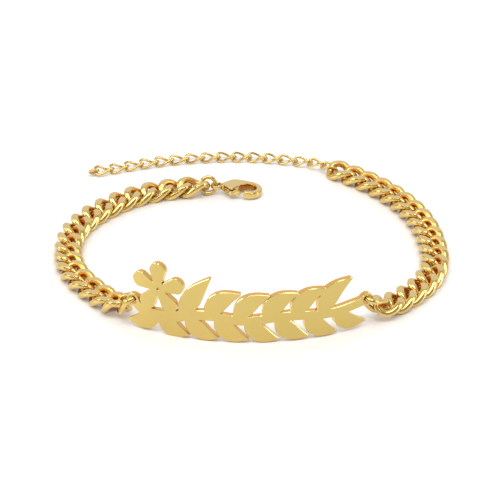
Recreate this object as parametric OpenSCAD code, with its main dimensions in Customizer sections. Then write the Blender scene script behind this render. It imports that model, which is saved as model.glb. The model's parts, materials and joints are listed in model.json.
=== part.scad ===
// Curb-chain bracelet with a bent, pierced plate, lying open on a table.
// Millimetres. +Z is up and the table is z = 0. The origin is the middle of the
// loop's box on the table, and the plate is at the front, on the -Y side.

/* [Plate] */
// Length of the plate, along its bend
plate_l = 43.6; // [38:0.2:48]
// Height of the plate at the blossom
plate_h = 13.4; // [11:0.1:16]
// Thickness of the sheet
plate_t = 1; // [0.7:0.05:1.4]
// Radius of the bend, at the front face
plate_bend_r = 38; // [34:0.5:44]
// Width of a full stroke of the ornament
stroke_w = 2.6; // [2:0.1:3.2]
// Width of metal round the hole of an eyelet
eyelet_wall = 0.45; // [0.35:0.05:0.6]
// How much wider the hole is than the wire through it
eyelet_play = 0.55; // [0.5:0.05:0.7]
// Height of the eyelets above the table
eyelet_z = 5.2; // [4.5:0.1:6.5]

/* [Curb chain] */
// Links in each half of the chain
links_per_side = 18; // [12:1:19]
// Outer length of a link
link_l = 6.45; // [6.2:0.05:7]
// Outer width of a link
link_w = 5.15; // [4.9:0.05:5.6]
// Diameter of the link's wire
link_wire = 1.4; // [1.2:0.05:1.5]
// Lengthwise play between two links
link_play = 0.2; // [0.1:0.05:0.4]
// How far the link's wire weaves above and below its middle
link_twist = 0.85; // [0.8:0.05:1]
// Thickness of the chain after its faces are filed flat
link_filed_t = 2.36; // [2.1:0.02:3]

/* [End links] */
// Outer length of the links through the eyelets
end_link_l = 6.3; // [6:0.1:7]
// Outer width of these links
end_link_w = 4.2; // [4:0.1:5]
// Diameter of their wire
end_link_wire = 0.95; // [0.8:0.05:1.1]

/* [Jump ring] */
// Outer diameter of the ring
ring_d = 3.75; // [3.7:0.05:4.2]
// Diameter of its wire
ring_wire = 0.75; // [0.6:0.05:0.9]

/* [Clasp] */
// Length of the clasp, from the middle of its eye to its round end
clasp_l = 8.55; // [8.2:0.05:9.2]
// Thickness of the clasp body
clasp_t = 1.4; // [1.3:0.05:1.8]
// Radius of the clasp's round end
clasp_bow_r = 2.45; // [2.3:0.05:2.7]
// Width of metal round the clasp's mouth
clasp_wall = 1.2; // [1:0.05:1.3]
// Width of metal round the hole of the eye
eye_wall = 0.4; // [0.35:0.05:0.6]
// Thickness of the eye
eye_t = 0.65; // [0.5:0.05:0.7]
// Thickness of the lever
lever_t = 0.7; // [0.6:0.05:0.9]
// Diameter of the pivot pin
pin_d = 0.6; // [0.5:0.05:0.7]
// Degrees that the lever swings in
lever_swing = 28; // [10:1:30]

/* [Extender] */
// Links in the fine chain
fine_links = 16; // [8:1:20]
// Outer length of a fine link
fine_l = 4.15; // [3.8:0.05:4.6]
// Outer width of a fine link
fine_w = 2.6; // [2.4:0.05:3]
// Diameter of the fine wire
fine_wire = 0.5; // [0.4:0.05:0.6]
// Lengthwise play between two fine links
fine_play = 0.15; // [0.1:0.05:0.3]
// Outer width of the first fine link, which hooks into the curb chain
hook_w = 2.95; // [2.8:0.05:3.2]
// Outer diameter of the small ring that ends the fine chain
tail_d = 2.2; // [2:0.05:2.6]

/* [Hidden] */

gold = "#e0bd63";
pale_gold = "#ecd488";

// Least gap between two pieces that touch on the real bracelet
gap = 0.1;
// Facets of small, middling and large round forms, and degrees in a full turn
small_facets = 24;
facets = 32;
large_facets = 64;
full_turn = 360;
// Height of a cutter, as a multiple of the thickness it goes through
through = 2;
// The plate's face is this far in front of the origin
loop_front = 34.45;
plate_axis_y = plate_bend_r - loop_front;
eyelet_hole_d = end_link_wire + eyelet_play;
eyelet_d = eyelet_hole_d + 2 * eyelet_wall;
eyelet_s = (plate_l - eyelet_d) / 2;

// Stem of the sprig between the eyelets. Columns: place along the plate and height,
// as shares of the plate's length and height, and width as a share of a full stroke.
STEM = [
  [-0.42, 0.27, 0.75], [-0.32, 0.27, 0.8], [-0.18, 0.36, 0.7], [-0.02, 0.31, 0.65],
  [0.14, 0.36, 0.65], [0.3, 0.32, 0.65], [0.42, 0.36, 0.65]];
// Width of the stem at the eyelets, as a share of a full stroke
STEM_END_W = 0.58;

// Leaves. Columns: place and height of the base, place and height of the tip,
// sideways bow as a share of the leaf's length, and width as a share of a stroke.
LEAVES = [
  [-0.265, 0.28, -0.155, 0.87, 0.06, 1.3],
  [-0.165, 0.34, -0.04, 0.68, 0.14, 1.3],
  [-0.055, 0.31, 0.07, 0.655, 0.14, 1.3],
  [0.055, 0.33, 0.18, 0.665, 0.14, 1.3],
  [0.165, 0.35, 0.29, 0.68, 0.14, 1.3],
  [0.275, 0.31, 0.4, 0.75, 0.14, 1.35],
  [-0.36, 0.27, -0.49, 0.09, 0.1, 1.25],
  [-0.355, 0.26, -0.24, 0.05, -0.11, 1.25],
  [-0.245, 0.31, -0.125, 0.05, -0.11, 1.25],
  [-0.13, 0.32, -0.01, 0.05, -0.11, 1.25],
  [-0.015, 0.31, 0.105, 0.05, -0.11, 1.25],
  [0.1, 0.34, 0.22, 0.05, -0.11, 1.25],
  [0.215, 0.33, 0.335, 0.05, -0.11, 1.25],
  [0.33, 0.32, 0.46, 0.1, -0.13, 1.15]];

// Blossom: place and height of its middle, as shares of the plate's length and
// height, and the length of a petal as a share of the height.
BLOSSOM = [-0.362, 0.635, 0.363];
// Petal. Columns: place as a share of its length, and width as a share of a stroke.
PETAL = [[0.2, 0.58], [0.45, 0.87], [0.69, 1.14]];
petals = 5;

// Route of each half of the chain, as offsets from its eyelet's middle. Columns:
// away to the side, back, and rise above the height at which the chain lies.
LEFT_ROUTE = [
  [1.7, 1.8, 1.5], [3.3, 3.9, 0.5], [5.3, 6.5, 0], [8.6, 10.7, 0], [12, 17, 0], [13, 23.5, 0],
  [12.8, 29, 0], [10.7, 35, 0], [6.5, 40.5, 0], [1.2, 45, 0], [-4.2, 47.2, 0],
  [-8.5, 47.7, 0.3], [-12.5, 47.4, 0.9]];
RIGHT_ROUTE = [
  [2, 1.6, 1.5], [3.9, 3.5, 0.5], [6.2, 5.8, 0], [10.5, 11.2, 0], [13, 17.5, 0], [13.2, 24.5, 0],
  [12.4, 31.8, 0], [10.3, 38.9, 0], [6.8, 45.2, 0], [2.4, 50.6, 0], [-2.8, 55, 0],
  [-8.6, 58.6, 0]];

// Route of the fine chain, as offsets from where it hooks into the right chain.
// Columns: along X, along Y, and rise above the height at which it lies.
FINE_ROUTE = [
  [-1.6, 1.7, 0.47], [-3.6, 3.3, 0.43], [-6.3, 4.3, 0.2], [-9.2, 5.2, 0], [-14.7, 6.35, 0],
  [-20.8, 6.6, 0], [-26.8, 6.05, 0], [-32.6, 4.95, 0], [-38.2, 3.2, 0],
  [-43.6, 1.1, 0], [-46.4, 0, 0.25]];

function link_name(side, i) = str(side, i < 10 ? "0" : "", i);
function unit(v) = v / norm(v);

// One point of the smooth curve through the points p, t of the way from p[i] to p[i + 1]
function on_curve(p, i, t) =
  let (a = i > 0 ? p[i - 1] : 2 * p[0] - p[1], b = p[i], c = p[i + 1],
       d = i + 2 < len(p) ? p[i + 2] : 2 * c - b)
  (2 * b + (c - a) * t + (2 * a - 5 * b + 4 * c - d) * t * t
   + (3 * b - a - 3 * c + d) * t * t * t) / 2;
function smooth(p, steps) =
  [for (i = [0:len(p) - 2], k = [0:steps - 1]) on_curve(p, i, k / steps), p[len(p) - 1]];
// The same line run on straight past its last point
function run_on(p, l) = let (n = len(p)) concat(p, [p[n - 1] + l * unit(p[n - 1] - p[n - 2])]);

// Lengths along a line of points, and the point at one length
function lengths(p, i = 0, total = 0) =
  i == len(p) - 1 ? [total] : concat([total], lengths(p, i + 1, total + norm(p[i + 1] - p[i])));
function at_length(p, run, s) =
  [for (axis = [0:len(p[0]) - 1]) lookup(s, [for (i = [0:len(p) - 1]) [run[i], p[i][axis]]])];

// Frame of a piece between two points: its middle and its three directions, with
// the second one turned by roll about the first, which runs from a to b
function turned_frame(a, b, roll) =
  let (x = unit(b - a), flat = unit(cross([0, 0, 1], x)), up = cross(x, flat))
  [(a + b) / 2, x, cos(roll) * flat + sin(roll) * up, -sin(roll) * flat + cos(roll) * up];
function in_frame(f, p) = f[0] + p[0] * f[1] + p[1] * f[2] + p[2] * f[3];

// Closed ring of round wire through the points p, which go round the local z axis.
// Its faces are filed off beyond filed_t, and frame puts it in its place.
module wire_loop(p, d, sides, frame, filed_t) {
  n = len(p);
  skin = [
    for (i = [0:n - 1])
      let (along = unit(p[(i + 1) % n] - p[(i + n - 1) % n]),
           out = unit(cross(along, [0, 0, 1])), up = cross(out, along))
      for (k = [0:sides - 1])
        let (a = full_turn * (k + 0.5) / sides, q = p[i] + d / 2 * (cos(a) * out + sin(a) * up))
        in_frame(frame, [q[0], q[1], max(-filed_t / 2, min(filed_t / 2, q[2]))])];
  function corner(i, k) = (i % n) * sides + k % sides;
  polyhedron(skin, [
    for (i = [0:n - 1], k = [0:sides - 1]) each [
      [corner(i, k), corner(i, k + 1), corner(i + 1, k + 1)],
      [corner(i, k), corner(i + 1, k + 1), corner(i + 1, k)]]]);
}
// Middle line of an oval link of the given length and width, woven left-handed by
// twist. With a power below 1 its sides are straighter and its ends rounder.
function bulge(v, power) = sign(v) * pow(abs(v), power);
function oval(l, w, twist, n, power = 1) =
  [for (i = [0:n - 1]) let (t = full_turn * i / n)
    [l / 2 * bulge(cos(t), power), w / 2 * bulge(sin(t), power), -twist * sin(2 * t)]];

// The two halves of the chain
link_steps = 16;
wire_sides = 6;
route_steps = 6;
spare_route = 20;
link_span = link_l - link_wire;
link_pitch = link_span - link_wire - link_play;
lying_z = link_filed_t / 2;
// Lengthwise play between an end link and the first curb link
end_play = 0.25;
end_span = end_link_l - end_link_wire;
first_link_s = end_span - (link_wire + end_link_wire) / 2 - end_play;

// Angle round the bend that a length s along the plate covers
function bend_angle(s) = s / plate_bend_r * 180 / PI;
eyelet_turn = bend_angle(eyelet_s);
// Middle of an eyelet: side is -1 on the left and 1 on the right
function eyelet_middle(side) =
  let (r = plate_bend_r - plate_t / 2)
  [side * r * sin(eyelet_turn), plate_axis_y - r * cos(eyelet_turn), eyelet_z];
function chain_route(side, offsets) =
  let (e = eyelet_middle(side),
       points = concat([e], [for (p = offsets) [e[0] + side * p[0], e[1] + p[1], lying_z + p[2]]]))
  run_on([for (p = smooth(points, route_steps)) [p[0], p[1], max(p[2], lying_z)]], spare_route);
left_route = chain_route(-1, LEFT_ROUTE);
right_route = chain_route(1, RIGHT_ROUTE);
left_run = lengths(left_route);
right_run = lengths(right_route);
function link_frame(route, run, i) =
  let (s = first_link_s + (i - 1) * link_pitch)
  turned_frame(at_length(route, run, s), at_length(route, run, s + link_span), 0);

module curb_link(frame) {
  color(gold)
    wire_loop(oval(link_span, link_w - link_wire, link_twist, link_steps), link_wire, wire_sides,
              frame, link_filed_t);
}
module left_link(i) curb_link(link_frame(left_route, left_run, i));
module right_link(i) curb_link(link_frame(right_route, right_run, i));

// Roll of an end link about its length, and how far its wire weaves
end_roll = -30;
end_twist = 0.6;
// How far its wire sits past the middle of the eyelet's hole
end_reach = 0.1;
end_power = 0.75;
module end_link(route, run) {
  far = at_length(route, run, end_span);
  near = route[0] - end_reach * unit(far - route[0]);
  color(gold)
    wire_loop(oval(norm(far - near), end_link_w - end_link_wire, end_twist, link_steps, end_power),
              end_link_wire, wire_sides, turned_frame(near, far, end_roll), end_link_w);
}
module left_end_link() end_link(left_route, left_run);
module right_end_link() end_link(right_route, right_run);

// Ornament of the plate, drawn on the flat sheet and then laid on the plane that
// the cutter starts from, so that its rays meet the bent sheet squarely
cutter_over = 0.6;
cutter_far = plate_bend_r + cutter_over;
cutter_near = (plate_bend_r - plate_t) * cos(bend_angle(plate_l / 2)) - cutter_over;
curve_steps = 4;
bend_facets = 120;
spot_step = 20;
leaf_step = 0.1;
leaf_tip_w = 0.5;
// Below 1, a leaf is widest nearer its base
leaf_taper = 0.8;
function on_cutter(p) = [cutter_near * tan(bend_angle(p[0])), p[1]];
module spot(p, d)
  polygon([for (a = [0:spot_step:full_turn - spot_step])
    on_cutter([p[0] + d / 2 * cos(a), p[1] + d / 2 * sin(a)])]);
// Stroke through rows of place, height and width
module stroke(rows) {
  n = len(rows);
  function edge(i, side) =
    let (along = unit([for (k = [0:1]) rows[min(i + 1, n - 1)][k] - rows[max(i - 1, 0)][k]]),
         half_w = side * rows[i][2] / 2)
    on_cutter([rows[i][0] - half_w * along[1], rows[i][1] + half_w * along[0]]);
  for (i = [0:n - 2]) polygon([edge(i, 1), edge(i + 1, 1), edge(i + 1, -1), edge(i, -1)]);
  spot(rows[0], rows[0][2]);
  hull() {
    spot(rows[n - 2], rows[n - 2][2]);
    spot(rows[n - 1], rows[n - 1][2]);
  }
}
function stem_end(side) = [side * eyelet_s, eyelet_z, STEM_END_W * stroke_w];
module stem()
  stroke(smooth(concat([stem_end(-1)], [for (r = STEM) [r[0] * plate_l, r[1] * plate_h, r[2] * stroke_w]],
                       [stem_end(1)]), curve_steps));
module leaf(r) {
  base = [r[0] * plate_l, r[1] * plate_h];
  tip = [r[2] * plate_l, r[3] * plate_h];
  side = [base[1] - tip[1], tip[0] - base[0]];
  stroke([for (t = [0:leaf_step:1])
    let (p = base + t * (tip - base) + r[4] * sin(180 * t) * side)
    [p[0], p[1], leaf_tip_w + (r[5] * stroke_w - leaf_tip_w) * sin(180 * pow(t, leaf_taper))]]);
}
// Open blossom: round-ended petals about a pierced middle
module blossom() {
  middle = [BLOSSOM[0] * plate_l, BLOSSOM[1] * plate_h];
  reach = BLOSSOM[2] * plate_h;
  for (k = [0:petals - 1]) let (a = full_turn * (k / petals + 1 / 4), out = [cos(a), sin(a)])
    stroke([for (r = PETAL) concat(middle + r[0] * reach * out, [r[1] * stroke_w])]);
}
// Round bar through the middle of an eyelet, square to the bent sheet
module eyelet_bar(side, d)
  rotate([0, 0, side * eyelet_turn]) translate([0, -plate_bend_r, eyelet_z]) rotate([90, 0, 0])
    cylinder(d = d, h = 2 * through * plate_t, center = true, $fn = small_facets);
module nameplate() {
  color(pale_gold) translate([0, plate_axis_y, 0]) difference() {
    intersection() {
      difference() {
        cylinder(r = plate_bend_r, h = plate_h, $fn = bend_facets);
        translate([0, 0, -cutter_over])
          cylinder(r = plate_bend_r - plate_t, h = plate_h + 2 * cutter_over, $fn = bend_facets);
      }
      union() {
        translate([0, -cutter_near, 0]) rotate([90, 0, 0])
          linear_extrude(height = cutter_far - cutter_near, slices = 1,
                         scale = [cutter_far / cutter_near, 1]) {
            stem();
            for (r = LEAVES) leaf(r);
            blossom();
          }
        for (side = [-1, 1]) eyelet_bar(side, eyelet_d);
      }
    }
    for (side = [-1, 1]) eyelet_bar(side, eyelet_hole_d);
  }
}

// Jump ring: it stands on the table, leaning back, and passes through the last link
// of the left chain and the clasp's eye
ring_turn = 6;
ring_lean = 18;
ring_play = 0.15;
ring_r = (ring_d - ring_wire) / 2;
ring_mid_z = ring_r * cos(ring_lean) + ring_wire / 2;
ring_along = [cos(ring_turn), sin(ring_turn), 0];
ring_back = [-sin(ring_turn), cos(ring_turn), 0];
last_left = link_frame(left_route, left_run, links_per_side);
// Where the ring's wire passes through the last link, and the ring's middle
in_last_link = in_frame(last_left, [link_span / 2 - (link_wire + ring_wire) / 2 - ring_play, 0, 0]);
// From the ring's middle to its wire at a height z, on the side that is -1 or 1
function ring_offset(side, z) =
  let (rise = (z - ring_mid_z) / cos(ring_lean))
  side * sqrt(pow(ring_r, 2) - pow(rise, 2)) * ring_along + rise * sin(ring_lean) * ring_back
    + (z - ring_mid_z) * [0, 0, 1];
ring_middle = let (m = in_last_link - ring_offset(-1, in_last_link[2])) [m[0], m[1], ring_mid_z];
module jump_ring() {
  color(gold) translate(ring_middle) rotate([90 - ring_lean, 0, ring_turn])
    rotate_extrude($fn = large_facets) translate([ring_r, 0]) circle(d = ring_wire, $fn = small_facets);
}

// Clasp, drawn flat from the middle of its eye along +X. Columns: place along the
// clasp as a share of its length, and place across it and radius, as shares of the
// round end's radius.
NOSE = [0.151, 0, 0.163];
BACK = [0.451, 0.12, 0.88];
FRONT = [0.393, -0.12, 0.65];
MOUTH_LEFT = [0.509, -0.12, 0.18];
MOUTH_FRONT = [0.389, -0.61, 0.08];
MOUTH_LOW = [0.7, -0.2, 0.4];
PIVOT = [0.232, -0.25];
LEVER_BEND = [0.369, -0.67, 0.26];
LEVER_TIP = [0.497, -0.74, 0.16];
LEVER_TAB = [0.324, -0.94, 0.14];
// Place of the hook's tip, as a share of the clasp's length
HOOK_TIP = 0.605;
lever_root_wall = 0.15;
lever_root_r = pin_d / 2 + gap + lever_root_wall;
slot_t = lever_t + 2 * gap;
eye_play = 0.75;
eye_hole_d = ring_wire + eye_play;
eye_d = eye_hole_d + 2 * eye_wall;
neck_w = 0.95;
bow_x = clasp_l - clasp_bow_r;
clasp_pivot = [PIVOT[0] * clasp_l, PIVOT[1] * clasp_bow_r];
clasp_turn = -4.5;
clasp_tilt = 6.5;
eye_z = clasp_t / 2 + clasp_l * sin(clasp_tilt);
eye_place = ring_middle + ring_offset(1, eye_z);
module in_clasp()
  translate([eye_place[0], eye_place[1], 0]) rotate([0, 0, clasp_turn])
    translate([clasp_l, 0, 0]) rotate([0, clasp_tilt, 0]) translate([-clasp_l, 0, clasp_t / 2]) children();
module dot(c, grow = 0)
  translate([c[0] * clasp_l, c[1] * clasp_bow_r]) circle(c[2] * clasp_bow_r + grow, $fn = facets);
module bow(wall = 0) translate([bow_x, 0]) circle(clasp_bow_r - wall, $fn = large_facets);
module clasp_outline()
  hull() {
    for (c = [NOSE, BACK, FRONT]) dot(c);
    bow();
  }
module clasp_mouth() {
  hull() {
    bow(clasp_wall);
    for (c = [MOUTH_LEFT, MOUTH_FRONT, MOUTH_LOW]) dot(c);
  }
  // The gap that the lever closes, from the mouth's front to well outside the body
  gap_x = MOUTH_FRONT[0] * clasp_l - MOUTH_FRONT[2] * clasp_bow_r;
  outside = 2 * clasp_bow_r;
  translate([gap_x, -outside])
    square([HOOK_TIP * clasp_l - gap_x, outside + MOUTH_FRONT[1] * clasp_bow_r]);
}
module lever_root(grow = 0) translate(clasp_pivot) circle(lever_root_r + grow, $fn = facets);
// Slot between the cheeks, wide enough for the lever's whole swing
module lever_slot()
  hull() for (turn = [0:lever_swing / 2:lever_swing])
    translate(clasp_pivot) rotate(turn) translate(-clasp_pivot) {
      lever_root(gap);
      for (c = [LEVER_BEND, LEVER_TIP, LEVER_TAB]) dot(c, gap);
    }
module clasp_body() {
  color(pale_gold) in_clasp() {
    difference() {
      union() {
        linear_extrude(clasp_t, center = true) difference() {
          clasp_outline();
          clasp_mouth();
        }
        linear_extrude(eye_t, center = true) {
          circle(d = eye_d, $fn = facets);
          translate([eye_hole_d / 2, -neck_w / 2]) square([NOSE[0] * clasp_l - eye_hole_d / 2, neck_w]);
        }
      }
      cylinder(d = eye_hole_d, h = through * clasp_t, center = true, $fn = facets);
      linear_extrude(slot_t, center = true) lever_slot();
    }
    translate(clasp_pivot) cylinder(d = pin_d, h = clasp_t, center = true, $fn = small_facets);
  }
}
module clasp_lever() {
  color(gold) in_clasp() difference() {
    linear_extrude(lever_t, center = true) {
      hull() {
        lever_root();
        dot(LEVER_BEND);
      }
      for (c = [LEVER_TIP, LEVER_TAB]) hull() {
        dot(LEVER_BEND);
        dot(c);
      }
    }
    translate(clasp_pivot)
      cylinder(d = pin_d + 2 * gap, h = through * lever_t, center = true, $fn = small_facets);
  }
}

// Fine chain: its first link is a wider one, through the last link of the right chain
fine_steps = 12;
fine_sides = 5;
fine_span = fine_l - fine_wire;
fine_pitch = fine_span - fine_wire - fine_play;
fine_twist = 0.5;
fine_lying_z = fine_twist + fine_wire / 2;
hook_play = 0.3;
// Roll of each fine link about the chain's line, by its number
FINE_ROLLS = [[1, 20], [2, 10], [3, 3], [4, 0]];
last_right = link_frame(right_route, right_run, links_per_side);
right_chain_end = in_frame(last_right, [link_span / 2, 0, 0]);
// The first fine link hooks round the end wire of the last curb link
fine_hook = right_chain_end - ((link_wire + fine_wire) / 2 + hook_play) * last_right[1];
fine_points = concat([fine_hook],
  [for (p = FINE_ROUTE) [fine_hook[0] + p[0], fine_hook[1] + p[1], fine_lying_z + p[2]]]);
fine_route = run_on(
  [for (p = smooth(fine_points, route_steps)) [p[0], p[1], max(p[2], fine_lying_z)]], spare_route);
fine_run = lengths(fine_route);
function fine_frame(i) =
  let (s = (i - 1) * fine_pitch)
  turned_frame(at_length(fine_route, fine_run, s), at_length(fine_route, fine_run, s + fine_span),
               lookup(i, FINE_ROLLS));
// The ring at the chain's end, turned so that the last fine link's wire runs through it
tail_roll = 46;
tail_span = tail_d - fine_wire;
tail_s = (fine_links - 1) * fine_pitch + fine_span - fine_wire - fine_play;
tail_frame = turned_frame(at_length(fine_route, fine_run, tail_s),
                          at_length(fine_route, fine_run, tail_s + tail_span), tail_roll);
module extender_chain() {
  color(gold) {
    for (i = [1:fine_links]) let (w = i == 1 ? hook_w : fine_w)
      wire_loop(oval(fine_span, w - fine_wire, fine_twist, fine_steps), fine_wire, fine_sides,
                fine_frame(i), w);
    wire_loop(oval(tail_span, tail_span, 0, fine_steps), fine_wire, fine_sides, tail_frame, tail_d);
  }
}

nameplate();
left_end_link();
right_end_link();
jump_ring();
clasp_body();
clasp_lever();
extender_chain();
for (i = [1:links_per_side]) {
  left_link(i);
  right_link(i);
}
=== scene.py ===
# Gold-plated curb-chain bracelet with a bent, pierced plate, lying open on a pale table.
# The pieces follow in the order in which the bracelet is put together: the plate, the
# two chain halves, the jump ring and clasp, and the fine extender chain.
import json
import math

import bpy
import numpy as np
from mathutils import Matrix, Vector


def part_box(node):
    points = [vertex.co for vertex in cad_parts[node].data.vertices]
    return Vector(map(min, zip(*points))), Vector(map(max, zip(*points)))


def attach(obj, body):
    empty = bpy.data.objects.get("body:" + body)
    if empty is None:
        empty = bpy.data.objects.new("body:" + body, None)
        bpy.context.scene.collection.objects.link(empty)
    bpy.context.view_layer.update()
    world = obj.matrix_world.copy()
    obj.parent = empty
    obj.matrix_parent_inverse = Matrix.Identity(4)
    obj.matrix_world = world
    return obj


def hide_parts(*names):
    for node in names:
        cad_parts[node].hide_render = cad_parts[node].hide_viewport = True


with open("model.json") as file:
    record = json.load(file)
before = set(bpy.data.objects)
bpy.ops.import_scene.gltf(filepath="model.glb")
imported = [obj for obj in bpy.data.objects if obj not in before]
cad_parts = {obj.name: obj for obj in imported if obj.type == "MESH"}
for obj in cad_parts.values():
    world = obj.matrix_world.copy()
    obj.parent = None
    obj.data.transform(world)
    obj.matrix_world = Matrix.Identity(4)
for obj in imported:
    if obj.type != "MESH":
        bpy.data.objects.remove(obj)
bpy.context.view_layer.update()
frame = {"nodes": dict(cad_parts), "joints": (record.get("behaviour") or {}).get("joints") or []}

# The plate: a sprig with an open blossom, cut by laser from sheet brass, its face
# brushed to a satin, its rim eased, then bent to the wrist and gold plated. It hangs
# between the chain halves by an eyelet at each end.
# Sizes are in mm, and MM turns them to the frame's metres.
MM = 0.001
PLATE_L = 43.6
PLATE_H = 13.4
PLATE_T = 1.0
BEND_R = 38.0
STROKE_W = 2.6
EYELET_D = 2.4
EYELET_HOLE_D = 1.5
EYELET_Z = 5.2
RIM_EASE = 0.06
BEND_STEP = 0.6
PUNCH_OVER = 0.5
PUNCH_STEP = 0.01
# Columns: place and height as shares of the plate's length and height, and width as
# a share of a full stroke
STEM = [(-0.42, 0.27, 0.75), (-0.32, 0.27, 0.8), (-0.18, 0.36, 0.7), (-0.02, 0.31, 0.65),
        (0.14, 0.36, 0.65), (0.3, 0.32, 0.65), (0.42, 0.36, 0.65)]
STEM_END_W = 0.58
# Columns: place and height of the base, place and height of the tip, sideways bow as
# a share of the leaf's length, and width as a share of a full stroke
LEAVES = [(-0.265, 0.28, -0.155, 0.87, 0.06, 1.3), (-0.165, 0.34, -0.04, 0.68, 0.14, 1.3),
          (-0.055, 0.31, 0.07, 0.655, 0.14, 1.3), (0.055, 0.33, 0.18, 0.665, 0.14, 1.3),
          (0.165, 0.35, 0.29, 0.68, 0.14, 1.3), (0.275, 0.31, 0.4, 0.75, 0.14, 1.35),
          (-0.36, 0.27, -0.49, 0.09, 0.1, 1.25), (-0.355, 0.26, -0.24, 0.05, -0.11, 1.25),
          (-0.245, 0.31, -0.125, 0.05, -0.11, 1.25), (-0.13, 0.32, -0.01, 0.05, -0.11, 1.25),
          (-0.015, 0.31, 0.105, 0.05, -0.11, 1.25), (0.1, 0.34, 0.22, 0.05, -0.11, 1.25),
          (0.215, 0.33, 0.335, 0.05, -0.11, 1.25), (0.33, 0.32, 0.46, 0.1, -0.13, 1.15)]
LEAF_TIP_W = 0.5
LEAF_TAPER = 0.8
BLOSSOM = (-0.362, 0.635, 0.363)
PETAL = [(0.2, 0.58), (0.45, 0.87), (0.69, 1.14)]
PETALS = 5
CAP_POINTS = 12
LEAF_STEPS = 30
STEM_STEPS = 8
DISC_POINTS = 40
PLATE_MERGE = 0.02
PLATE_DISSOLVE = math.radians(0.5)
PLATE_SMOOTH = math.radians(12)
# A face is flat where more than the first share of its normal points through the
# thickness, and a wall where less than the second does. DEPTH_MATCH is how near to a
# depth a face or point has to lie to count as on it.
FLAT_FACING = 0.99
WALL_FACING = 0.3
DEPTH_MATCH = 0.001
GRAIN_DETAIL = 3.0
BUMP_STRENGTH = 0.5


def linear(colour):
    """An sRGB hex colour as linear red, green, blue and alpha."""
    shares = [int(colour[i:i + 2], 16) / 255 for i in (1, 3, 5)]
    return [s / 12.92 if s <= 0.04045 else ((s + 0.055) / 1.055) ** 2.4 for s in shares] + [1]


def add_node(material, kind, **sockets):
    """One shader node. A socket, its spaces written as _, takes a value or another node's output."""
    node = material.node_tree.nodes.new(kind)
    for name, value in sockets.items():
        socket = node.inputs[name.replace("_", " ")]
        if isinstance(value, bpy.types.NodeSocket):
            material.node_tree.links.new(value, socket)
        else:
            socket.default_value = value
    return node


def gold_finish(name, colour, low, high, grain_mm, stretch, depth_mm):
    """Gold plating whose roughness runs from low to high with a grain of that size, stretched along X."""
    material = bpy.data.materials.new(name)
    material.use_nodes = True
    material.node_tree.nodes.clear()
    place = add_node(material, "ShaderNodeTexCoord").outputs["Object"]
    grain_place = add_node(material, "ShaderNodeMapping", Vector=place, Scale=(1 / stretch, 1, 1)).outputs[0]
    grain = add_node(material, "ShaderNodeTexNoise", Vector=grain_place, Scale=1 / (grain_mm * MM),
                     Detail=GRAIN_DETAIL).outputs["Fac"]
    roughness = add_node(material, "ShaderNodeMapRange", Value=grain, To_Min=low, To_Max=high).outputs[0]
    bump = add_node(material, "ShaderNodeBump", Height=grain, Strength=BUMP_STRENGTH,
                    Distance=depth_mm * MM).outputs[0]
    surface = add_node(material, "ShaderNodeBsdfPrincipled", Base_Color=linear(colour), Metallic=1.0,
                       Roughness=roughness, Normal=bump).outputs[0]
    add_node(material, "ShaderNodeOutputMaterial", Surface=surface)
    return material


def pick(piece):
    """Selects this piece alone, and makes it the one that operators work on."""
    bpy.ops.object.select_all(action="DESELECT")
    piece.select_set(True)
    bpy.context.view_layer.objects.active = piece


def edit(piece, elements="FACE"):
    """Opens the piece in edit mode with nothing in it selected."""
    pick(piece)
    bpy.ops.object.mode_set(mode="EDIT")
    bpy.ops.mesh.select_mode(type=elements)
    bpy.ops.mesh.select_all(action="DESELECT")
    bpy.ops.object.mode_set(mode="OBJECT")


def apply_modifier(piece, kind, **settings):
    """Gives the piece a modifier with these settings and applies it."""
    modifier = piece.modifiers.new(kind.title(), kind)
    for name, value in settings.items():
        setattr(modifier, name, value)
    pick(piece)
    bpy.ops.object.modifier_apply(modifier=modifier.name)


def smooth_curve(rows, steps):
    """Rows of numbers run through by one Catmull-Rom curve, with that many steps from row to row."""
    rows = [np.array(r, float) for r in rows]
    ends = [2 * rows[0] - rows[1]] + rows + [2 * rows[-1] - rows[-2]]
    found = []
    for a, b, c, d in zip(ends, ends[1:], ends[2:], ends[3:]):
        for t in np.arange(steps) / steps:
            found.append((2 * b + (c - a) * t + (2 * a - 5 * b + 4 * c - d) * t * t
                          + (3 * b - a - 3 * c + d) * t ** 3) / 2)
    return found + [rows[-1]]


def stroke_outline(rows):
    """The outline of a stroke through rows of place, height and width, with round ends."""
    rows = [np.array(r, float) for r in rows]
    sides = {1: [], -1: []}
    for i, row in enumerate(rows):
        along = rows[min(i + 1, len(rows) - 1)][:2] - rows[max(i - 1, 0)][:2]
        along /= np.linalg.norm(along)
        for side in sides:
            sides[side].append(row[:2] + side * row[2] / 2 * np.array([-along[1], along[0]]))

    def cap(middle, start):
        """The points of a half circle round a stroke's end, from start to its other side."""
        turns = np.linspace(0, math.pi, CAP_POINTS + 2)[1:-1]
        out = start - middle
        return [middle + np.array([out[0] * math.cos(a) + out[1] * math.sin(a),
                                   out[1] * math.cos(a) - out[0] * math.sin(a)]) for a in turns]

    return (sides[1] + cap(rows[-1][:2], sides[1][-1]) + sides[-1][::-1]
            + cap(rows[0][:2], sides[-1][0]))


def punch(outline, over):
    """A straight punch of that outline, reaching over the sheet on both sides."""
    bpy.ops.mesh.primitive_circle_add(vertices=len(outline), fill_type="NGON")
    piece = bpy.context.object
    for vertex, point in zip(piece.data.vertices, outline):
        vertex.co = (point[0], -over, point[1])
    pick(piece)
    bpy.ops.object.mode_set(mode="EDIT")
    bpy.ops.mesh.select_all(action="SELECT")
    bpy.ops.mesh.extrude_region_move(TRANSFORM_OT_translate={"value": (0, PLATE_T + 2 * over, 0)})
    bpy.ops.mesh.select_all(action="SELECT")
    bpy.ops.mesh.normals_make_consistent(inside=False)
    bpy.ops.object.mode_set(mode="OBJECT")
    return piece


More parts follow.
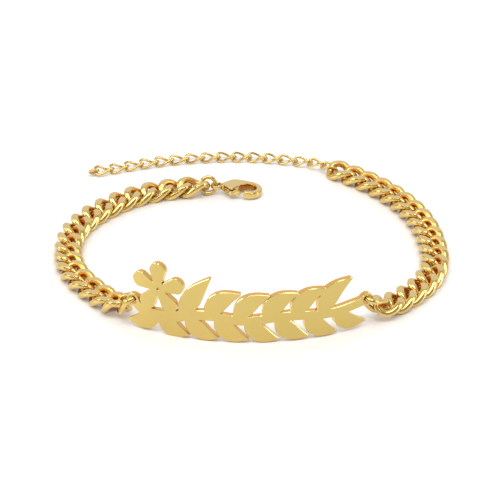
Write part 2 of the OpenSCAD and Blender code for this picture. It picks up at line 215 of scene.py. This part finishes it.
def disc(x, z, d):
    """The outline of a disc with that middle and diameter."""
    turns = np.arange(DISC_POINTS) * 2 * math.pi / DISC_POINTS
    return [(x + d / 2 * math.cos(a), z + d / 2 * math.sin(a)) for a in turns]


def leaf_rows(base_x, base_z, tip_x, tip_z, bow, width):
    """The stroke of one leaf as rows of place, height and width, from its row in LEAVES."""
    base = np.array([base_x * PLATE_L, base_z * PLATE_H])
    tip = np.array([tip_x * PLATE_L, tip_z * PLATE_H])
    side = np.array([base[1] - tip[1], tip[0] - base[0]])
    rows = []
    for t in np.linspace(0, 1, LEAF_STEPS + 1):
        place = base + t * (tip - base) + bow * math.sin(math.pi * t) * side
        swell = (width * STROKE_W - LEAF_TIP_W) * math.sin(math.pi * t ** LEAF_TAPER)
        rows.append((*place, LEAF_TIP_W + swell))
    return rows


eyelet_s = (PLATE_L - EYELET_D) / 2
stem_rows = [(x * PLATE_L, z * PLATE_H, w * STROKE_W) for x, z, w in STEM]
stem_rows = ([(-eyelet_s, EYELET_Z, STEM_END_W * STROKE_W)] + stem_rows
             + [(eyelet_s, EYELET_Z, STEM_END_W * STROKE_W)])
blossom_middle = np.array([BLOSSOM[0] * PLATE_L, BLOSSOM[1] * PLATE_H])
blossom_reach = BLOSSOM[2] * PLATE_H
outlines = [stroke_outline(smooth_curve(stem_rows, STEM_STEPS))]
outlines += [stroke_outline(leaf_rows(*row)) for row in LEAVES]
for k in range(PETALS):
    turn = math.pi / 2 + 2 * math.pi * k / PETALS
    out = np.array([math.cos(turn), math.sin(turn)])
    outlines.append(stroke_outline([(*(blossom_middle + t * blossom_reach * out), w * STROKE_W)
                                    for t, w in PETAL]))
outlines += [disc(side * eyelet_s, EYELET_Z, EYELET_D) for side in (-1, 1)]
# Each punch reaches a little further than the last, so that no two ends share a plane
punches = [punch(outline, PUNCH_OVER + PUNCH_STEP * i) for i, outline in enumerate(outlines)]
bpy.ops.object.select_all(action="DESELECT")
for piece in punches:
    piece.select_set(True)
bpy.context.view_layer.objects.active = punches[0]
bpy.ops.object.join()
bpy.ops.mesh.primitive_cube_add(size=1, location=(0, PLATE_T / 2, PLATE_H / 2),
                                scale=(2 * PLATE_L, PLATE_T, 2 * PLATE_H))
plate = bpy.context.object
plate.name = "sprig_plate"
bpy.ops.object.transform_apply()
apply_modifier(plate, "BOOLEAN", object=punches[0], operation="INTERSECT", solver="EXACT", use_self=True)
bpy.data.objects.remove(punches[0])
for side in (-1, 1):
    hole = punch(disc(side * eyelet_s, EYELET_Z, EYELET_HOLE_D), PUNCH_OVER)
    apply_modifier(plate, "BOOLEAN", object=hole, operation="DIFFERENCE", solver="EXACT")
    bpy.data.objects.remove(hole)
edit(plate)
bpy.ops.object.mode_set(mode="EDIT")
bpy.ops.mesh.select_all(action="SELECT")
bpy.ops.mesh.remove_doubles(threshold=PLATE_MERGE)
bpy.ops.mesh.dissolve_limited(angle_limit=PLATE_DISSOLVE)
bpy.ops.mesh.select_all(action="SELECT")
bpy.ops.mesh.quads_convert_to_tris()
for cut in np.arange(-PLATE_L / 2 + BEND_STEP, PLATE_L / 2, BEND_STEP):
    bpy.ops.mesh.select_all(action="SELECT")
    bpy.ops.mesh.bisect(plane_co=(cut, 0, 0), plane_no=(1, 0, 0))
bpy.ops.object.mode_set(mode="OBJECT")
for depth, inward in ((0, 1), (PLATE_T, -1)):
    edit(plate)
    for face in plate.data.polygons:
        face.select = abs(face.normal.y) > FLAT_FACING and abs(face.center.y - depth) < DEPTH_MATCH
    bpy.ops.object.mode_set(mode="EDIT")
    bpy.ops.mesh.inset(thickness=RIM_EASE, use_even_offset=False)
    bpy.ops.object.mode_set(mode="OBJECT")
    for vertex in plate.data.vertices:
        if abs(vertex.co.y - depth) < DEPTH_MATCH and not vertex.select:
            vertex.co.y += inward * RIM_EASE
edit(plate)
bpy.ops.object.mode_set(mode="EDIT")
bpy.ops.mesh.select_all(action="SELECT")
bpy.ops.mesh.quads_convert_to_tris()
bpy.ops.object.mode_set(mode="OBJECT")
# Brushed satin: a soft, even sheen with faint streaks along the plate. They are drawn
# coarser than a satin brush leaves them, so that they show
satin_gold = gold_finish("satin_gold_plating", "#D3BA70", low=0.28, high=0.36, grain_mm=0.12,
                         stretch=14, depth_mm=0.002)
# The laser's cut: warmer, brighter walls between the leaves, a painted reflection of the gold walls lighting
# one another
wall_reflection_gold = gold_finish("gold_wall_painted_reflection", "#E3B260", low=0.2, high=0.3, grain_mm=0.3,
                       stretch=1, depth_mm=0.004)
# The eased rim: a paler gold, a painted highlight that draws a thin pale line of light round each leaf
rim_highlight_gold = gold_finish("gold_rim_painted_highlight", "#F6DFA6", low=0.12, high=0.2, grain_mm=0.3,
                       stretch=1, depth_mm=0.002)
plate.data.materials.append(satin_gold)
plate.data.materials.append(wall_reflection_gold)
plate.data.materials.append(rim_highlight_gold)
# Flat faces take the satin, the walls the painted reflection, and the eased rim's slopes the painted
# highlight
for face in plate.data.polygons:
    flatness = abs(face.normal.y)
    face.material_index = 0 if flatness > FLAT_FACING else 1 if flatness < WALL_FACING else 2
plate_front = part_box("nameplate")[0].y / MM
for vertex in plate.data.vertices:
    turn = vertex.co.x / BEND_R
    radius = BEND_R - vertex.co.y
    vertex.co = (radius * math.sin(turn), plate_front + BEND_R - radius * math.cos(turn), vertex.co.z)
plate.data.transform(Matrix.Scale(MM, 4))
pick(plate)
bpy.ops.object.shade_smooth_by_angle(angle=PLATE_SMOOTH)
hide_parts("nameplate")
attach(plate, "bracelet")

# The curb links: brass wire wound and cut, each link closed by solder, twisted so that
# it lies flat on the next, then filed flat above and below and gold plated. One link
# is made and copied to the place of each link of the two chain halves.
LINK_L = 6.45
LINK_W = 5.15
LINK_WIRE = 1.4
LINK_WEAVE = 0.85
LINK_FILED_T = 2.36
LOOP_POINTS = 16
POINT_STEPS = 4
WIRE_ROUND = 4
FLAT_EASE = 0.05
FLAT_SEGMENTS = 2
FILED_FACING = 0.999
RECESS_FACING = 0.5
LINK_SMOOTH = math.radians(35)
POINT_DIGITS = 7


def wire_loop(name, length, width, wire, weave, power=1.0, roundness=WIRE_ROUND):
    """An oval loop of wire of those outer sizes, woven left-handed. A power below 1 squares its ends."""
    bpy.ops.curve.primitive_bezier_circle_add()
    loop = bpy.context.object
    loop.name = name
    spline = loop.data.splines[0]
    spline.bezier_points.add(LOOP_POINTS - len(spline.bezier_points))
    for i, point in enumerate(spline.bezier_points):
        turn = 2 * math.pi * i / LOOP_POINTS
        across = [math.copysign(abs(f(turn)) ** power, f(turn)) for f in (math.cos, math.sin)]
        point.co = ((length - wire) / 2 * across[0], (width - wire) / 2 * across[1],
                    -weave * math.sin(2 * turn))
        point.handle_left_type = point.handle_right_type = "AUTO"
    loop.data.resolution_u = POINT_STEPS
    loop.data.bevel_depth = wire / 2
    loop.data.bevel_resolution = roundness
    pick(loop)
    bpy.ops.object.convert(target="MESH")
    return loop


def file_flat(loop, thickness):
    """Files the loop flat above and below to that thickness and eases the flats' edges."""
    for up in (1, -1):
        edit(loop)
        bpy.ops.object.mode_set(mode="EDIT")
        bpy.ops.mesh.select_all(action="SELECT")
        bpy.ops.mesh.bisect(plane_co=(0, 0, up * thickness / 2), plane_no=(0, 0, up), use_fill=True,
                            clear_outer=True)
        bpy.ops.object.mode_set(mode="OBJECT")
    edit(loop)
    for face in loop.data.polygons:
        height = abs(face.center.z) - thickness / 2
        face.select = abs(face.normal.z) > FILED_FACING and abs(height) < DEPTH_MATCH
        face.material_index = 1 if face.select else 0
    bpy.ops.object.mode_set(mode="EDIT")
    bpy.ops.mesh.region_to_loop()
    bpy.ops.mesh.bevel(offset=FLAT_EASE, segments=FLAT_SEGMENTS, affect="EDGES", clamp_overlap=True)
    bpy.ops.object.mode_set(mode="OBJECT")


def merged_points(mesh):
    """The points of a CAD mesh, each once."""
    points = np.zeros(len(mesh.vertices) * 3)
    mesh.vertices.foreach_get("co", points)
    return np.unique(points.reshape(-1, 3).round(POINT_DIGITS), axis=0)


def place_of(points):
    """The matrix that lays X, Y and Z along the length, width and thickness of these points."""
    middle = points.mean(0)
    _, _, axes = np.linalg.svd(points - middle, full_matrices=False)
    axes[2] = np.cross(axes[0], axes[1])
    place = Matrix([[*axes[:, row], middle[row]] for row in range(3)] + [[0, 0, 0, 1]])
    return place @ Matrix.Scale(MM, 4)


def set_in_place(master, node, name):
    """Lays a copy of the master piece, made in mm, where the CAD node is, which it replaces."""
    piece = bpy.data.objects.new(name, master.data.copy())
    bpy.context.scene.collection.objects.link(piece)
    piece.data.transform(place_of(merged_points(frame["nodes"][node].data)))
    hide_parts(node)
    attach(piece, "bracelet")


# Polished: small sharp highlights that run along the wire
polished_gold = gold_finish("polished_gold_plating", "#DCBD75", low=0.1, high=0.2, grain_mm=0.5,
                            stretch=1, depth_mm=0.004)
# Filed: a paler, matt facet on each link
filed_gold = gold_finish("filed_gold_flat", "#DEC487", low=0.32, high=0.45, grain_mm=0.15,
                         stretch=1, depth_mm=0.003)
# Inside the loop: a deeper, more orange gold, a painted reflection of the gold facing it across the loop
recess_reflection_gold = gold_finish("gold_recess_painted_reflection", "#E8AE58", low=0.2, high=0.35, grain_mm=0.2,
                            stretch=1, depth_mm=0.004)
curb_link = wire_loop("curb_link", LINK_L, LINK_W, LINK_WIRE, LINK_WEAVE)
file_flat(curb_link, LINK_FILED_T)
curb_link.data.materials.append(polished_gold)
curb_link.data.materials.append(filed_gold)
curb_link.data.materials.append(recess_reflection_gold)
# Faces that look into the loop get the painted reflection
for face in curb_link.data.polygons:
    if face.material_index == 0 and face.normal.xy.dot(face.center.xy.normalized()) < -RECESS_FACING:
        face.material_index = 2
pick(curb_link)
bpy.ops.object.shade_smooth_by_angle(angle=LINK_SMOOTH)
for node in sorted(frame["nodes"]):
    if node.startswith(("left_link_", "right_link_")):
        set_in_place(curb_link, node, "curb_" + node)
bpy.data.objects.remove(curb_link)

# The two end links: thinner oval loops of the same wire stock, closed by solder through
# the plate's eyelets, that carry the plate between the chain halves.
END_L = 6.3
END_W = 4.2
END_WIRE = 0.95
END_WEAVE = 0.6
END_POWER = 0.75

end_link = wire_loop("end_link", END_L, END_W, END_WIRE, END_WEAVE, END_POWER)
end_link.data.materials.append(polished_gold)
pick(end_link)
bpy.ops.object.shade_smooth()
for node in ("left_end_link", "right_end_link"):
    set_in_place(end_link, node, "oval_" + node)
bpy.data.objects.remove(end_link)

# The jump ring: one turn of round wire, its sawn ends eased and closed butt to butt. It
# joins the left chain to the clasp.
RING_WIRE = 0.75
RING_D = 3.75
RING_SLIT = 0.03
RING_POINTS = 13
RING_STEPS = 6
RING_ROUND = 6
RING_MERGE = 0.001
RING_END_EASE = 0.06
RING_END_SEGMENTS = 3
RING_SMOOTH = math.radians(50)
RING_JOINT_TURN = 2.8

bpy.ops.curve.primitive_bezier_circle_add()
ring = bpy.context.object
spline = ring.data.splines[0]
spline.bezier_points.add(RING_POINTS - len(spline.bezier_points))
spline.use_cyclic_u = False
ring_r = (RING_D - RING_WIRE) / 2
slit_turn = RING_SLIT / ring_r
point_turn = (2 * math.pi - slit_turn) / (RING_POINTS - 1)
# The handle with which one Bezier arc follows a circle
handle = 4 / 3 * math.tan(point_turn / 4) * ring_r
for i, point in enumerate(spline.bezier_points):
    turn = RING_JOINT_TURN + slit_turn / 2 + point_turn * i
    place = Vector((math.cos(turn), math.sin(turn), 0)) * ring_r
    along = Vector((-math.sin(turn), math.cos(turn), 0)) * handle
    point.handle_left_type = point.handle_right_type = "FREE"
    point.co = place
    point.handle_left = place - along
    point.handle_right = place + along
ring.data.resolution_u = RING_STEPS
ring.data.bevel_depth = RING_WIRE / 2
ring.data.bevel_resolution = RING_ROUND
ring.data.use_fill_caps = True
pick(ring)
bpy.ops.object.convert(target="MESH")
edit(ring)
bpy.ops.object.mode_set(mode="EDIT")
bpy.ops.mesh.select_all(action="SELECT")
bpy.ops.mesh.remove_doubles(threshold=RING_MERGE)
bpy.ops.object.mode_set(mode="OBJECT")
edit(ring)
# The two sawn ends are the only faces with more than four corners
for face in ring.data.polygons:
    face.select = len(face.vertices) > 4
bpy.ops.object.mode_set(mode="EDIT")
bpy.ops.mesh.region_to_loop()
bpy.ops.mesh.bevel(offset=RING_END_EASE, segments=RING_END_SEGMENTS, affect="EDGES")
bpy.ops.object.mode_set(mode="OBJECT")
ring.data.materials.append(polished_gold)
pick(ring)
bpy.ops.object.shade_smooth_by_angle(angle=RING_SMOOTH)
set_in_place(ring, "jump_ring", "round_jump_ring")
bpy.data.objects.remove(ring)

# The clasp body: a cast lobster clasp with its eye, tumbled until its edges are round and bright,
# satin on its flat cheeks, and painted darker and browner inside its bow as painted shade. The lever
# turns on a pin between the cheeks.
CLASP_GRAIN = 0.07
TUMBLES = 14
BOW_TUMBLES = 110
BOW_R = 2.45
BOW_INNER_R = 1.95
BOW_FADE = 1.2
BOW_FACING = 0.6
WEAR_SHARE = 0.5
CAST_MERGE = 0.002
CLASP_THINNING = 0.6


def wear(piece, tumbles, group=""):
    """Wears the edges of an evenly meshed piece round, all over or by the weights of a group."""
    apply_modifier(piece, "CORRECTIVE_SMOOTH", iterations=tumbles, factor=WEAR_SHARE,
                   smooth_type="LENGTH_WEIGHTED", use_only_smooth=True, vertex_group=group)


def even_copy(node, name, body):
    """A closed, evenly meshed copy of a CAD node, in mm, which replaces it."""
    piece = frame["nodes"][node].copy()
    piece.data = piece.data.copy()
    piece.name = name
    bpy.context.scene.collection.objects.link(piece)
    piece.parent = None
    piece.data.transform(Matrix.Scale(1 / MM, 4))
    edit(piece)
    bpy.ops.object.mode_set(mode="EDIT")
    bpy.ops.mesh.select_all(action="SELECT")
    bpy.ops.mesh.remove_doubles(threshold=CAST_MERGE)
    bpy.ops.object.mode_set(mode="OBJECT")
    apply_modifier(piece, "REMESH", mode="VOXEL", voxel_size=CLASP_GRAIN)
    wear(piece, TUMBLES)
    piece.data.materials.clear()
    for key in [k for k in piece.keys() if k.startswith("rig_")]:
        del piece[key]
    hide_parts(node)
    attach(piece, body)
    return piece


def finish_casting(piece):
    """Thins the piece's even mesh where it is flat, and turns it from mm to metres."""
    apply_modifier(piece, "DECIMATE", decimate_type="COLLAPSE", ratio=CLASP_THINNING)
    piece.data.transform(Matrix.Scale(MM, 4))
    pick(piece)
    bpy.ops.object.shade_smooth()


# Satin: a soft pale sheen on the flat cheeks
cheek_gold = gold_finish("satin_clasp_cheek", "#DFC68C", low=0.28, high=0.38, grain_mm=0.15,
                         stretch=4, depth_mm=0.003)
# Painted shade inside the bow: a dark, browner gold, with a rougher skin
bow_shade_gold = gold_finish("gold_bow_painted_shade", "#B97C34", low=0.2, high=0.35, grain_mm=0.2,
                        stretch=1, depth_mm=0.008)
clasp = even_copy("clasp_body", "lobster_clasp_body", "bracelet")
pin_axis = Vector(frame["joints"][0]["axis"]).normalized()
clasp_place = place_of(merged_points(frame["nodes"]["clasp_body"].data))
bow_way = clasp_place.col[0].xyz.normalized()
bow_way *= math.copysign(1, bow_way.x)
bow_middle = max(vertex.co.dot(bow_way) for vertex in clasp.data.vertices) - BOW_R
side_way = pin_axis.cross(bow_way)
side_reach = [vertex.co.dot(side_way) for vertex in clasp.data.vertices]
side_middle = (min(side_reach) + max(side_reach)) / 2
bow_group = clasp.vertex_groups.new(name="bow")
for vertex in clasp.data.vertices:
    share = (vertex.co.dot(bow_way) - bow_middle) / BOW_FADE + 1
    bow_group.add([vertex.index], min(max(share, 0), 1), "REPLACE")
wear(clasp, BOW_TUMBLES, "bow")
clasp.vertex_groups.clear()
clasp.data.materials.append(polished_gold)
clasp.data.materials.append(cheek_gold)
clasp.data.materials.append(bow_shade_gold)
# Faces that look into the bow get the painted shade
for face in clasp.data.polygons:
    inward = Vector((bow_middle - face.center.dot(bow_way), side_middle - face.center.dot(side_way)))
    facing = inward.normalized().dot(Vector((face.normal.dot(bow_way), face.normal.dot(side_way))))
    flat = abs(face.normal.dot(pin_axis)) > FLAT_FACING
    in_bow = inward.length < BOW_INNER_R and facing > BOW_FACING
    face.material_index = 1 if flat else 2 if in_bow else 0
finish_casting(clasp)
lever = even_copy("clasp_lever", "lobster_clasp_lever", "lever")
wear(lever, TUMBLES)
lever.data.materials.append(polished_gold)
finish_casting(lever)

# The extender: a fine open curb chain of plain round wire. Its first link is a wider oval
# hooked round the end of the right chain, and its last is a small soldered ring.
FINE_L = 4.15
FINE_W = 2.6
FINE_WIRE = 0.5
FINE_WEAVE = 0.5
HOOK_W = 2.95
TAIL_D = 2.2
FINE_ROUND = 2


def loose_points(mesh):
    """The points of each loose solid of a CAD mesh, in the order of their places in it."""
    points = np.zeros(len(mesh.vertices) * 3)
    mesh.vertices.foreach_get("co", points)
    _, point_id = np.unique(points.reshape(-1, 3).round(POINT_DIGITS), axis=0, return_inverse=True)
    point_id = point_id.ravel()
    group = list(range(point_id.max() + 1))

    def root(i):
        """The point that stands for the solid of point i."""
        while group[i] != i:
            group[i] = group[group[i]]
            i = group[i]
        return i

    for face in mesh.polygons:
        first, *others = [root(point_id[v]) for v in face.vertices]
        for other in others:
            group[other] = first
    places = {}
    for corner, co in zip(point_id, points.reshape(-1, 3)):
        places.setdefault(root(corner), set()).add(tuple(co.round(POINT_DIGITS)))
    return [np.array(sorted(p)) for p in places.values()]


fine_link = wire_loop("fine_link", FINE_L, FINE_W, FINE_WIRE, FINE_WEAVE, roundness=FINE_ROUND)
hook_link = wire_loop("hook_link", FINE_L, HOOK_W, FINE_WIRE, FINE_WEAVE, roundness=FINE_ROUND)
tail_ring = wire_loop("tail_ring", TAIL_D, TAIL_D, FINE_WIRE, 0, roundness=FINE_ROUND)
solids = loose_points(frame["nodes"]["extender_chain"].data)
solids.sort(key=lambda p: -p[:, 0].mean())
links = []
masters = [hook_link] + [fine_link] * (len(solids) - 2) + [tail_ring]
for points, master in zip(solids, masters):
    link = bpy.data.objects.new("extender_link", master.data.copy())
    bpy.context.scene.collection.objects.link(link)
    link.data.transform(place_of(points))
    links.append(link)
bpy.ops.object.select_all(action="DESELECT")
for link in links:
    link.select_set(True)
bpy.context.view_layer.objects.active = links[0]
bpy.ops.object.join()
extender = links[0]
extender.name = "extender_fine_chain"
extender.data.materials.append(polished_gold)
pick(extender)
bpy.ops.object.shade_smooth()
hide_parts("extender_chain")
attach(extender, "bracelet")
for master in (hook_link, fine_link, tail_ring):
    bpy.data.objects.remove(master)

# The table, lights and camera, with lengths in metres. The table is a pale sheet with a
# faint sheen, lit from above by large soft boxes, and isn't part of the bracelet.
TABLE_SIZE = 4.0
TABLE_SQUARES = 8
VIEW_DISTANCE = 0.4
VIEW_ELEVATION = math.radians(29)
VIEW_AIM = Vector((0, -0.00255, 0))
FOCAL_PIXELS = 2240
PICTURE_PIXELS = 500
SENSOR = 36.0
NEAREST = 0.01
LIGHT_AIM = Vector((0, 0, 0))
# The sky's glow in front and behind, and the Y of the directions between which it changes
SKY_GLOW = (0.4, 0.96)
SKY_Y = (-0.2, 0.75)

bpy.ops.mesh.primitive_grid_add(x_subdivisions=TABLE_SQUARES, y_subdivisions=TABLE_SQUARES, size=TABLE_SIZE)
table = bpy.context.object
table.name = "table_top"
# White acrylic: a near-white ground with a faint, blurred reflection of the chain
table_paint = bpy.data.materials.new("white_acrylic_table")
table_paint.use_nodes = True
table_paint.node_tree.nodes.clear()
table_surface = add_node(table_paint, "ShaderNodeBsdfPrincipled", Base_Color=linear("#F7F6F5"),
                         Roughness=0.24, Specular_IOR_Level=0.75).outputs[0]
add_node(table_paint, "ShaderNodeOutputMaterial", Surface=table_surface)
table.data.materials.append(table_paint)


def soft_box(name, place, width, height, power):
    """A white rectangular light of that size in metres and power in watts, aimed at the bracelet."""
    light = bpy.data.lights.new(name, "AREA")
    light.shape = "RECTANGLE"
    light.size = width
    light.size_y = height
    light.energy = power
    lamp = bpy.data.objects.new(name, light)
    bpy.context.scene.collection.objects.link(lamp)
    lamp.location = place
    lamp.rotation_euler = (LIGHT_AIM - Vector(place)).to_track_quat("-Z", "Y").to_euler()


soft_box("soft_box_over", (0, -0.25, 0.75), width=0.9, height=0.35, power=4.0)
soft_box("soft_box_left", (-0.7, -0.15, 0.35), width=0.5, height=0.4, power=2.1)
soft_box("soft_box_right", (0.75, -0.1, 0.3), width=0.25, height=0.5, power=1.5)
soft_box("strip_front", (-0.2, -0.62, 0.4), width=0.5, height=0.04, power=0.36)

world = bpy.data.worlds.new("pale_studio")
bpy.context.scene.world = world
world.use_nodes = True
world.node_tree.nodes.clear()
direction = add_node(world, "ShaderNodeTexCoord").outputs["Generated"]
backward = add_node(world, "ShaderNodeSeparateXYZ", Vector=direction).outputs["Y"]
glow = add_node(world, "ShaderNodeMapRange", Value=backward, From_Min=SKY_Y[0], From_Max=SKY_Y[1],
                To_Min=SKY_GLOW[0], To_Max=SKY_GLOW[1]).outputs[0]
sky = add_node(world, "ShaderNodeBackground", Color=linear("#FFFFFF"), Strength=glow).outputs[0]
add_node(world, "ShaderNodeOutputWorld", Surface=sky)

lens = bpy.data.cameras.new("photo_camera")
lens.sensor_width = SENSOR
lens.lens = FOCAL_PIXELS / PICTURE_PIXELS * SENSOR
lens.clip_start = NEAREST
camera = bpy.data.objects.new("photo_camera", lens)
bpy.context.scene.collection.objects.link(camera)
camera.location = VIEW_AIM + VIEW_DISTANCE * Vector((0, -math.cos(VIEW_ELEVATION), math.sin(VIEW_ELEVATION)))
camera.rotation_euler = (VIEW_AIM - camera.location).to_track_quat("-Z", "Y").to_euler()
bpy.context.scene.camera = camera
bpy.context.scene.view_settings.view_transform = "Standard"
